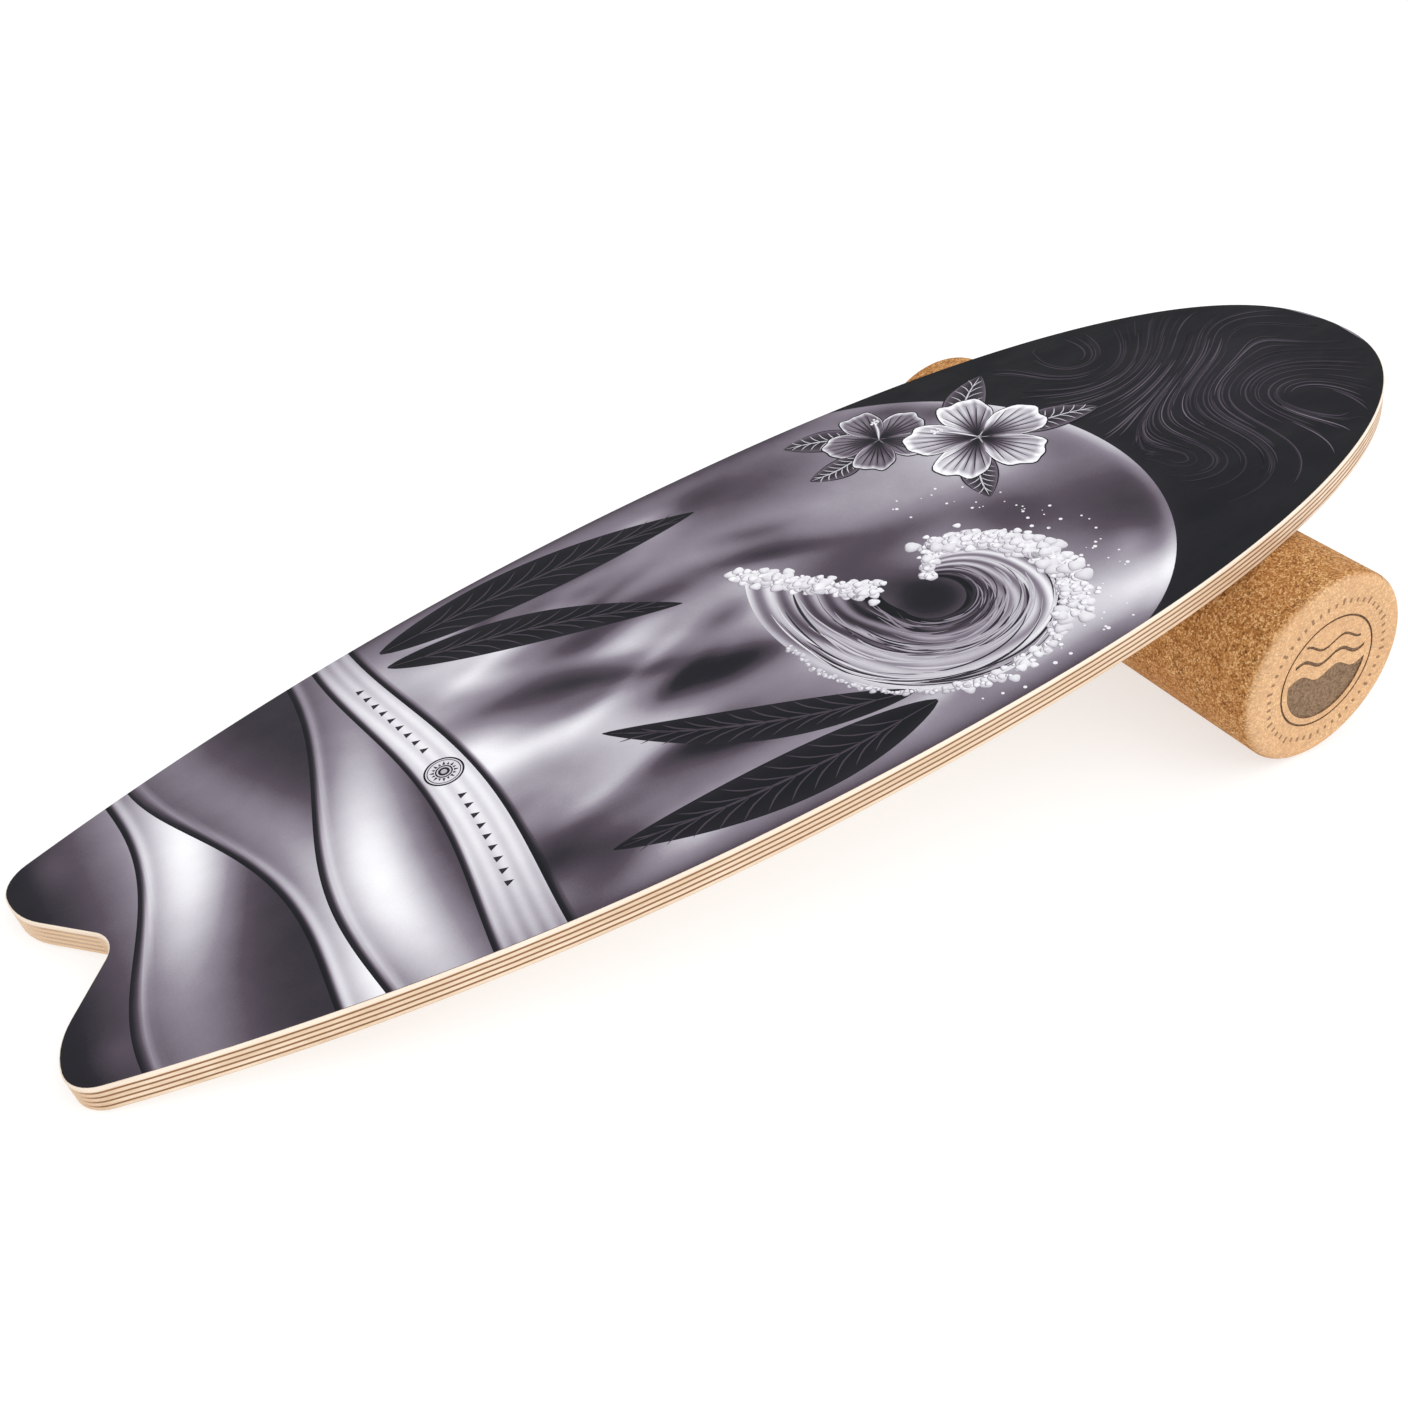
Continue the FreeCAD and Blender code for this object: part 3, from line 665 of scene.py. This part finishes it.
def soft_tone(u, v):
    """The airbrushed ground: mist between darker sides, and a mottled moon behind the wave."""
    dice = random.Random(11)
    tone = 0.62 + 0 * u
    for _ in range(60):
        at_u, at_v = dice.uniform(170, 420), dice.uniform(-120, 120)
        size_u, size_v = dice.uniform(18, 55), dice.uniform(5, 16)
        spot = blob(u, v, at_u, at_v, size_u, size_v, dice.uniform(-24, 24))
        tone = tone + dice.choice((-0.21, 0.17)) * spot
    for at_u, at_v, size_u, size_v, lean, strength in SHADES:
        tone = tone + strength * blob(u, v, at_u, at_v, size_u, size_v, lean)
    tone = np.clip(tone, 0.07, 0.96)

    # The moon's rim glows; the film darkens towards its sides and over the fins.
    from_rim = np.hypot(u - MOON_U, v) - MOON_RADIUS
    tone = tone + 0.22 * np.exp(-(from_rim / 6) ** 2) * (u > 480)
    sides = np.abs(v) / np.maximum(reach_at(u), 1)
    tone = tone * (1 - 0.50 * sides**12 * (u > 60))
    fins = np.clip((58 - u) / 50, 0, 1) ** 0.8
    return tone * (1 - 0.86 * fins) + 0.10 * blob(u, np.abs(v), 22, 66, 9, 14)


# Stations along the film, closer together where its outline turns: fin tips, notch and nose.
TIP_RUN, NOSE_RUN = 12, 40
quarter_turn = np.linspace(0, math.pi / 2, 18)[1:]
stations = np.concatenate([
    FILM_START + TIP_RUN * (1 - np.cos(np.linspace(0, math.pi / 2, 9))),
    FILM_START + TIP_RUN + (NOTCH_END - FILM_START - TIP_RUN) * np.sin(quarter_turn),
    np.linspace(NOTCH_END, FILM_END - NOSE_RUN, 236)[1:],
    FILM_END - NOSE_RUN + NOSE_RUN * np.sin(quarter_turn),
])
ROWS = 44


class FilmGrid:
    """The film's own grid of points, welded where its rows meet at the nose and the fin tips."""

    def __init__(self):
        self.points = []
        self.faces = []
        self.number = {}
        for station in range(len(stations) - 1):
            for row in range(ROWS):
                for side in (1, -1):
                    self.add_face(station, row, side)

    def add_face(self, station, row, side):
        corners = []
        for ahead, out in ((0, 0), (1, 0), (1, 1), (0, 1)):
            point = self.point_number(stations[station + ahead], row + out, side)
            if point not in corners:
                corners.append(point)
        if len(corners) > 2:
            self.faces.append(corners if side > 0 else corners[::-1])

    def point_number(self, u, row, side):
        inner = float(np.interp(u, INNER_U, INNER_V)) if u < NOTCH_END - 1e-6 else 0.0
        v = side * (inner + (float(reach_at(u)) - inner) * row / ROWS)
        key = (round(float(u), 4), round(v, 4) + 0.0)
        if key not in self.number:
            self.number[key] = len(self.points)
            self.points.append(key)
        return self.number[key]


grid = FilmGrid()
film_u, film_v = np.array(grid.points).T
film = Sheet("printed_film_art", low=BOARD)
film.add(film_u, film_v, grid.faces, soft_tone(film_u, film_v), top=FILM_TOP)
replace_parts(film.build(), "printed_film")


# ---------------------------------------------------------------- broad printed shapes
def band(sheet, back, front, tone, rows=90, columns=30):
    """A shape across the whole film between two curves; both take t, -1 to 1 across it."""
    t = np.linspace(-1, 1, rows)[:, None] + np.zeros(columns)
    s = np.linspace(0, 1, columns) + np.zeros((rows, 1))
    u = back(t) + s * (front(t) - back(t))
    v = t * (reach_at(u) - 0.02)
    sheet.grid(u, v, tone(u, v, u - back(t), t))


def leaf(sheet, base, tip, width, bend, body, edge, veins=0, vein_tone=0.5, vein_width=0.6):
    """A pointed leaf along a bent midrib, with a rim tone and optional side veins."""
    base, tip = np.array(base, float), np.array(tip, float)
    span = tip - base
    normal = np.array([-span[1], span[0]]) / np.hypot(*span)
    length = np.linspace(0.004, 0.996, 40)
    middle = base + length[:, None] * span + (bend * np.sin(math.pi * length))[:, None] * normal
    half = width / 2 * np.sin(math.pi * length**0.85) ** 0.8
    lanes = np.linspace(-1, 1, 9)
    u = middle[:, :1] + lanes * half[:, None] * normal[0]
    v = middle[:, 1:] + lanes * half[:, None] * normal[1]
    sheet.grid(u, v, body + (edge - body) * np.abs(lanes) ** 2 + np.zeros_like(u))
    sheet.same_layer(True)
    for number in range(veins):
        share = 0.12 + 0.76 * number / veins
        start = base + share * span + bend * math.sin(math.pi * share) * normal
        half_here = width / 2 * math.sin(math.pi * min(share + 0.10, 1) ** 0.85) ** 0.8
        for side in (-1, 1):
            end = start + 0.13 * span + side * 0.86 * half_here * normal
            mid = (start + end) / 2 - side * 0.05 * half_here * normal + 0.015 * span
            sheet.stroke([start, mid, end], vein_width, vein_tone, steps=6)
    if veins:
        spots = (0, 0.33, 0.66, 0.97)
        rib = [base + k * span + bend * math.sin(math.pi * k) * normal for k in spots]
        sheet.stroke(rib, 1.6 * vein_width, vein_tone)
    sheet.same_layer(False)


def swell(start, tilt, curve, phase):
    """A crest line that wanders across the board."""
    return lambda t: start + tilt * t + curve * np.sin(2.6 * t + phase)


def swell_tone(light_t, width, strength):
    """A rolling swell: a dark line at its crest, then a glowing back that falls into shadow."""
    def tone(u, v, behind, t):
        glow = np.exp(-((behind - 0.50 * width) / (0.50 * width)) ** 2)
        spread = np.exp(-((t - light_t) / 0.75) ** 2)
        line = 1 - np.exp(-(behind / 3.0) ** 4)
        rim = 0.22 * np.exp(-((behind - 5.4) / 2.4) ** 2)
        return (0.16 + strength * glow * (0.35 + 0.65 * spread) + rim) * line + 0.02
    return tone


SWELL_WIDTH, SWELL_OVERLAP = 48, 6
RIBBON_WIDTH = 34
ground = Sheet("print_ground")
crests = [
    swell(44, 9, 8, 0.4),
    swell(92, -16, 10, 2.2),
    swell(136, 12, 9, -0.6),
    swell(176, 2, 7, 1.9),
]
ribbon_back = crests[3]
swell_lights = ((0.35, 0.80), (-0.85, 0.82), (-0.40, 0.80))
for back, front, (light_t, strength) in zip(crests, crests[1:], swell_lights):
    tone = swell_tone(light_t, SWELL_WIDTH, strength)
    band(ground, back, lambda t, front=front: front(t) + SWELL_OVERLAP, tone)


def ribbon_tone(u, v, behind, t):
    """A pale satin band with a dark line along its back edge."""
    folds = 0.05 * np.sin(behind * 0.9 + 3 * t)
    return (0.88 + folds - 0.25 * np.abs(t) ** 3) * (1 - 0.96 * np.exp(-(behind / 3.1) ** 4))


def mist_tone(u, v, behind, t):
    """The ground again, behind the dark line that closes the pale band."""
    return soft_tone(u, v) * (1 - 0.97 * np.exp(-(behind / 3.3) ** 4))


def ribbon_front(t):
    """The pale band narrows a little from one side to the other."""
    return ribbon_back(t) + 27 - 5 * t


band(ground, ribbon_back, lambda t: ribbon_back(t) + RIBBON_WIDTH, ribbon_tone)
band(ground, ribbon_front, lambda t: 300 + 0 * t, mist_tone, columns=60)


# ---------------------------------------------------------------- the night sky over the nose
def moon_edge(t):
    """Station of the moon's rim, found by steps because the film narrows along it."""
    u = MOON_U + MOON_RADIUS
    for _ in range(12):
        u = MOON_U + np.sqrt(np.maximum(MOON_RADIUS**2 - (t * reach_at(u)) ** 2, 100.0))
    return u


def night_tone(u, v, behind, t):
    """Near black, with a glow along the moon's rim and faint haze beyond it."""
    haze = 0.07 * blob(u, v, 690, 0, 60, 55)
    return 0.03 + haze + 0.05 * np.exp(-behind / 7)


band(ground, moon_edge, lambda t: FILM_END - 0.05 + 0 * t, night_tone, columns=50)

# Two pairs of dark palm leaves over the mist.
for base, tip, width, bend in (
    ((206, 110), (398, 104), 34, 5),
    ((205, 96), (350, 34), 27, 7),
    ((402, -116), (236, -100), 32, 6),
    ((398, -104), (268, -28), 25, 8),
):
    leaf(ground, base, tip, width, bend, 0.02, 0.10, veins=11, vein_tone=0.26, vein_width=0.9)
ground.build()


# ---------------------------------------------------------------- wind drawn over the night sky
# Each whirl's place, way round and size, then the places where the wind's lines are brightest.
WHIRLS = ((655, 62, 1, 34), (705, -28, -1, 44), (628, -62, 1, 30), (742, 34, -1, 22))
GUSTS = ((668, 22), (702, -58), (735, 20), (640, 66))
WIND_STEP = 5.5
sky = Sheet("print_wind")
sky.loop_layers(80)
dice = random.Random(5)


def drift(u, v):
    """The wind's direction at a point: a steady drift bent by a few whirls."""
    du, dv = 0.75, 0.12
    for at_u, at_v, way, size in WHIRLS:
        x, y = u - at_u, v - at_v
        pull = 1.5 * math.exp(-(x * x + y * y) / (2 * size * size)) / size
        du, dv = du - way * y * pull, dv + way * x * pull
    length = math.hypot(du, dv)
    return du / length, dv / length


for _ in range(260):
    u, v = dice.uniform(600, 740), dice.uniform(-105, 105)
    path = [(u, v)]
    for _ in range(dice.randint(7, 16)):
        du, dv = drift(u, v)
        u, v = u + WIND_STEP * du, v + WIND_STEP * dv
        inside = abs(v) < reach_at(u) - 5 and u < FILM_END - 6
        beyond = math.hypot(u - MOON_U, v) > MOON_RADIUS + 4
        if not (inside and beyond):
            break
        path.append((u, v))
    if len(path) > 4:
        nearest = min((u - at_u) ** 2 + (v - at_v) ** 2 for at_u, at_v in GUSTS)
        glow = math.exp(-nearest / 1800)
        light = dice.uniform(0.10, 0.22) + dice.uniform(0.10, 0.42) * glow
        sky.stroke(path, dice.uniform(0.6, 2.1), light, edge=0.07)
sky.build()


# ---------------------------------------------------------------- the breaking wave
EYE_U, EYE_V = 447.0, -52.0
ARM_END, LIP_END = math.radians(-55), math.radians(236)
CURL_FOAM = 4.13
PUFF_SHADE, PUFF_CONTOUR = 0.20, 0.60


def around_eye(angle, reach):
    """A point round the wave's eye: 0 towards the tail, 90 degrees towards the near side."""
    return EYE_U - reach * np.cos(angle), EYE_V - reach * np.sin(angle)


def wave_reach(angle, share):
    """How far out the wave's face lies: share 0 along its hollow, 1 along its back."""
    opening = 1 + 1.25 * (np.maximum(-angle, 0) / 1.3) ** 1.6
    hollow = 17 * opening
    back = (76 - 9 * np.maximum(angle, 0) / 2.2) * opening**0.55
    back = back - 22 * (np.maximum(angle - 2.6, 0) / 1.5) ** 1.5
    return hollow + share * (back - hollow)


# The wave's face, in bands of light and dark drawn round its curl.
wave = Sheet("print_wave")
angle = np.linspace(ARM_END, LIP_END, 150)[:, None]
share = np.linspace(0, 1, 70)[None, :]
u, v = around_eye(angle, wave_reach(angle, share))
drawn = 6.4 * share**0.85 + 0.30 * np.sin(2.0 * angle + 0.6) + 0.12 * np.sin(5.0 * angle)
ridge = 0.15 + 0.07 * np.sin(1.7 * angle + 4 * share)
light = 0.28 + 0.50 * share**0.6 + ridge * np.sin(2 * math.pi * drawn)
light = light - 0.34 * np.exp(-(share / 0.20) ** 2) - 0.18 * np.exp(-((angle + 0.35) / 0.5) ** 2)
wave.grid(u, v, light)

# Brush lines along the curl, two dark ones for every three light ones.
wave.loop_layers(40)
for number in range(120):
    place = dice.uniform(0.03, 0.97)
    slip = dice.uniform(-0.10, 0.10)
    start = dice.uniform(-0.90, 2.6)
    end = min(start + dice.uniform(0.4, 1.8), 4.0)
    path = []
    for turn in np.linspace(start, end, 7):
        lane = min(max(place + slip * (turn - start), 0.02), 0.98)
        path.append(around_eye(turn, wave_reach(turn, lane)))
    if number % 5 < 2:
        wave.stroke(path, dice.uniform(0.5, 1.9), 0.08, edge=0.30)
    else:
        wave.stroke(path, dice.uniform(0.5, 2.0), 0.55 + 0.43 * place, edge=0.40 + 0.35 * place)


def puff(sheet, u, v, size, light):
    """One ball of foam, bright towards the nose, with a thin crescent of shade behind it."""
    phase = dice.uniform(0, 6)
    corners = 14 if size > 2 else 10
    turns = np.linspace(0, 2 * math.pi, corners + 1)[:-1]
    wobble = 1 + 0.12 * np.sin(3 * turns + phase)
    ball = np.array((u, v)) + (ring((u, v), size, corners) - (u, v)) * wobble[:, None]
    rim = ball + np.array((-0.42, 0.26))

    def tone(share, turn):
        return light - PUFF_SHADE * share**1.6 * (1 - math.cos(turn - 0.6)) / 2

    sheet.disc((u, v), rim, lambda share, turn: PUFF_CONTOUR, rings=1)
    sheet.disc((u, v), ball, tone, rings=3 if size > 2 else 2)


def foam(sheet, centre, spread, sizes, count, light=1.0):
    """A heap of puffs round a point, the larger ones first and lower."""
    heap = sorted((dice.uniform(*sizes) for _ in range(count)), reverse=True)
    for rank, size in enumerate(heap):
        at_u = centre[0] + dice.gauss(0, spread)
        at_v = centre[1] + dice.gauss(0, spread)
        puff(sheet, at_u, at_v, size, light * (0.90 + 0.10 * rank / (count - 1)))


# Foam along the wave's back, thickest towards its lip.
wave.loop_layers(64)
for turn in np.linspace(1.15, 2.2, 12):
    foam(wave, around_eye(turn, wave_reach(turn, 1.0) + 1), 2.4, (0.9, 2.8), 7)
for turn in np.linspace(2.2, 4.05, 24):
    foam(wave, around_eye(turn, wave_reach(turn, 1.05) + 2), 4.2, (1.0, 4.4), 15)
for turn in np.linspace(-0.2, 1.15, 26):
    foam(wave, around_eye(turn, wave_reach(turn, 1.0)), 1.0, (0.6, 1.7), 3, light=0.92)

# Foam across both ends of the face.
for share in np.linspace(0, 1, 26):
    at_u, at_v = around_eye(ARM_END, wave_reach(ARM_END, share))
    foam(wave, (at_u - 2, at_v), 3.2, (0.9, 3.6), 8)
for share in np.linspace(0.05, 0.95, 8):
    foam(wave, around_eye(CURL_FOAM, wave_reach(CURL_FOAM, share)), 1.8, (1.0, 3.0), 6)

# Loose drops thrown off the back.
wave.same_layer(True)
for _ in range(90):
    u, v = around_eye(dice.uniform(1.2, 4.4), dice.gauss(88, 8))
    if abs(v) < reach_at(u) - 4:
        size = dice.uniform(0.3, 1.2)
        wave.disc((u, v), ring((u, v), size, 8), lambda share, turn: 0.93, rings=1)
wave.build()


# ---------------------------------------------------------------- hibiscus flowers and leaves
PETAL_SPREAD = 0.70


def petal(sheet, centre, aim, length, grow=0.0, shade=None):
    """One ruffled petal in rows from the flower's middle outwards, dark if it has no shade."""
    s = np.linspace(-1, 1, 25)[None, :]
    out = np.linspace(0.05, 1, 16)[:, None]
    ruffle = 1 + 0.035 * np.sin(8 * s + 3 * aim) + 0.02 * np.sin(15 * s + aim)
    reach = (length * (1 - 0.62 * np.abs(s) ** 3.2) * ruffle + grow) * out
    width = PETAL_SPREAD * np.sin(np.clip(out, 0, 1) * math.pi / 2) ** 0.35 * (1 + grow / length)
    turn = aim + s * width
    u = centre[0] + reach * np.cos(turn)
    v = centre[1] + reach * np.sin(turn)
    tone = shade(out, s) if shade else 0.04 + 0 * u
    sheet.grid(u, v, tone)


def flower(sheet, centre, size, turn, light):
    """Five overlapping petals with fine veins, and a stamen standing out of a dark throat."""
    for number in (0, 2, 4, 1, 3):
        aim = turn + number * 2 * math.pi / 5
        petal(sheet, centre, aim, size, grow=0.8)

        def shade(out, s):
            veins = 0.5 + 0.5 * np.cos(9 * math.pi * s)
            throat = np.clip((out - 0.14) / 0.50, 0, 1)
            rim = 0.45 * np.clip((out - 0.90) / 0.08, 0, 1)
            side = 0.22 * s * math.cos(aim - 0.6)
            return light * throat**0.9 * (0.60 + 0.26 * veins + side) + rim + 0.05

        petal(sheet, centre, aim, size, shade=shade)
        sheet.same_layer(True)
        for k in (-0.62, -0.36, -0.12, 0.12, 0.36, 0.62):
            path = []
            for out in (0.18, 0.45, 0.7, dice.uniform(0.82, 0.92)):
                angle = aim + PETAL_SPREAD * k * math.sin(out * math.pi / 2) ** 0.35
                reach = size * (1 - 0.62 * abs(k) ** 3.2) * out
                along_u, along_v = reach * math.cos(angle), reach * math.sin(angle)
                path.append((centre[0] + along_u, centre[1] + along_v))
            sheet.stroke(path, 0.75, 0.05, blunt=0.25, steps=10)
        sheet.same_layer(False)

    # The stamen, with pollen round its tip.
    lean = turn + 0.9
    tip = (centre[0] + 0.62 * size * math.cos(lean), centre[1] + 0.62 * size * math.sin(lean))
    middle = ((centre[0] + tip[0]) / 2 + 1, (centre[1] + tip[1]) / 2)
    sheet.stroke([centre, middle, tip], 2.6, 1.0, edge=0.35)
    sheet.same_layer(True)
    for _ in range(9):
        spot = (tip[0] + dice.uniform(-2.6, 2.6), tip[1] + dice.uniform(-2.6, 2.6))
        sheet.disc(spot, ring(spot, 0.9, 8), lambda share, turn: 0.95, rings=1)
    sheet.same_layer(False)


flowers = Sheet("print_flowers", first_layer=FLOWER_LAYER)
for base, tip, width, bend in (
    ((556, 66), (602, 104), 24, 3),
    ((512, 96), (470, 122), 22, -3),
    ((500, 84), (462, 82), 18, 3),
    ((548, 36), (524, -2), 20, -3),
    ((576, 40), (626, 26), 22, 3),
):
    leaf(flowers, base, tip, width + 1.6, bend, 0.03, 0.03)
    leaf(flowers, base, tip, width, bend, 0.14, 0.42, veins=7, vein_tone=0.80)
flower(flowers, (516, 90), 32, 0.2, 0.55)
flower(flowers, (558, 50), 42, 1.2, 0.92)
flowers.build()


# ---------------------------------------------------------------- a sun and teeth on the pale band
def plain(sheet, outline, tone):
    """A small shape of one tone, round the middle of its outline."""
    sheet.disc(np.mean(outline, axis=0), outline, lambda share, turn: tone, rings=1)


BADGE_AHEAD = 14.6
badge = Sheet("print_sun", first_layer=BADGE_LAYER)
sun_place = (float(ribbon_back(0.0)) + BADGE_AHEAD, 0.0)
for size, tone in ((10.0, 0.05), (9.0, 0.86), (8.4, 0.08), (7.9, 0.84)):
    plain(badge, ring(sun_place, size, 40), tone)
badge.same_layer(True)
for number in range(16):
    turns = np.array((-0.16, 0.0, 0.16)) + number * math.pi / 8
    reach = np.array((4.9, 7.4 if number % 2 else 6.6, 4.9))
    spike = np.stack([sun_place[0] + reach * np.cos(turns), reach * np.sin(turns)], axis=1)
    plain(badge, spike, 0.08)
badge.same_layer(False)
for size, tone in ((4.4, 0.08), (3.6, 0.78), (2.9, 0.10), (1.6, 0.70)):
    plain(badge, ring(sun_place, size, 28), tone)
badge.same_layer(True)
for side in (1, -1):
    for number in range(9):
        t = side * (0.17 + 0.066 * number)
        u = float(ribbon_back(t)) + BADGE_AHEAD - 2.5 * t
        v = t * float(reach_at(200))
        plain(badge, [(u + 2.6, v), (u - 1.6, v + 1.9), (u - 1.6, v - 1.9)], 0.16)
badge.same_layer(False)
badge.build()


# ---------------------------------------------------------------- camera
# The camera's place, and its right and down directions, are in the deck's own frame.
CAMERA_PLACE = (102.0, -567.3, FILM_TOP + 470.4)
CAMERA_RIGHT = (0.83671, -0.52623, -0.15164)
CAMERA_DOWN = (-0.43888, -0.4787, -0.76041)

camera_data = bpy.data.cameras.new("camera")
camera_data.sensor_width = 36.0
camera_data.lens = 39.06
camera_data.shift_x = -0.0365
camera_data.shift_y = -0.0214
camera_data.clip_start = 0.01
camera = bpy.data.objects.new("camera", camera_data)
bpy.context.scene.collection.objects.link(camera)
bpy.context.scene.camera = camera

deck_turn = DECK.to_3x3()
right = (deck_turn @ Vector(CAMERA_RIGHT)).normalized()
down = deck_turn @ Vector(CAMERA_DOWN)
down = (down - right * down.dot(right)).normalized()
backwards = right.cross(-down).normalized()
turn = Matrix((right, -down, backwards)).transposed().to_4x4()
camera.matrix_world = Matrix.Translation(on_deck(*CAMERA_PLACE)) @ turn


# ---------------------------------------------------------------- light and floor
WORLD_STRENGTH = 0.85
FLOOR_REACH = 30.0
WHITE = (1.0, 1.0, 1.0, 1.0)


def sun(name, towards, strength, softness):
    """A far lamp in a direction; softness is how wide it looks, in degrees."""
    data = bpy.data.lights.new(name, "SUN")
    data.energy = strength
    data.angle = math.radians(softness)
    lamp = bpy.data.objects.new(name, data)
    bpy.context.scene.collection.objects.link(lamp)
    lamp.rotation_euler = Vector(towards).to_track_quat("Z", "Y").to_euler()


sun("key", (0.7, -0.75, 1.2), 0.95, 60)
sun("side", (-0.9, -0.7, 0.8), 0.22, 80)
sun("front", (0.3, -1.0, 0.25), 0.40, 60)

# A plain white world. Seen directly, past the floor, it is as white as the floor.
world = bpy.data.worlds.new("studio")
bpy.context.scene.world = world
world.use_nodes = True
sky_tree = world.node_tree
background = sky_tree.nodes["Background"]
background.inputs["Color"].default_value = WHITE
seen = sky_tree.nodes.new("ShaderNodeLightPath").outputs["Is Camera Ray"]
strength = sky_tree.nodes.new("ShaderNodeMath")
strength.operation = "MULTIPLY_ADD"
strength.inputs[1].default_value = 1 - WORLD_STRENGTH
strength.inputs[2].default_value = WORLD_STRENGTH
sky_tree.links.new(seen, strength.inputs[0])
sky_tree.links.new(strength.outputs[0], background.inputs["Strength"])
bpy.context.scene.view_settings.view_transform = "Standard"

# A pale floor that glows a little, so that shadows on it stay pale.
corners = [(-FLOOR_REACH, -FLOOR_REACH, 0), (FLOOR_REACH, -FLOOR_REACH, 0)]
corners += [(FLOOR_REACH, FLOOR_REACH, 0), (-FLOOR_REACH, FLOOR_REACH, 0)]
floor_mesh = bpy.data.meshes.new("floor")
floor_mesh.from_pydata(corners, [], [(0, 1, 2, 3)])
floor = bpy.data.objects.new("floor", floor_mesh)
bpy.context.scene.collection.objects.link(floor)
floor_looks = {"Base_Color": (0.38, 0.38, 0.38, 1.0), "Roughness": 0.9}
floor_paint = Paint("floor", Emission_Color=WHITE, Emission_Strength=0.65, **floor_looks)
floor_mesh.materials.append(floor_paint.material)
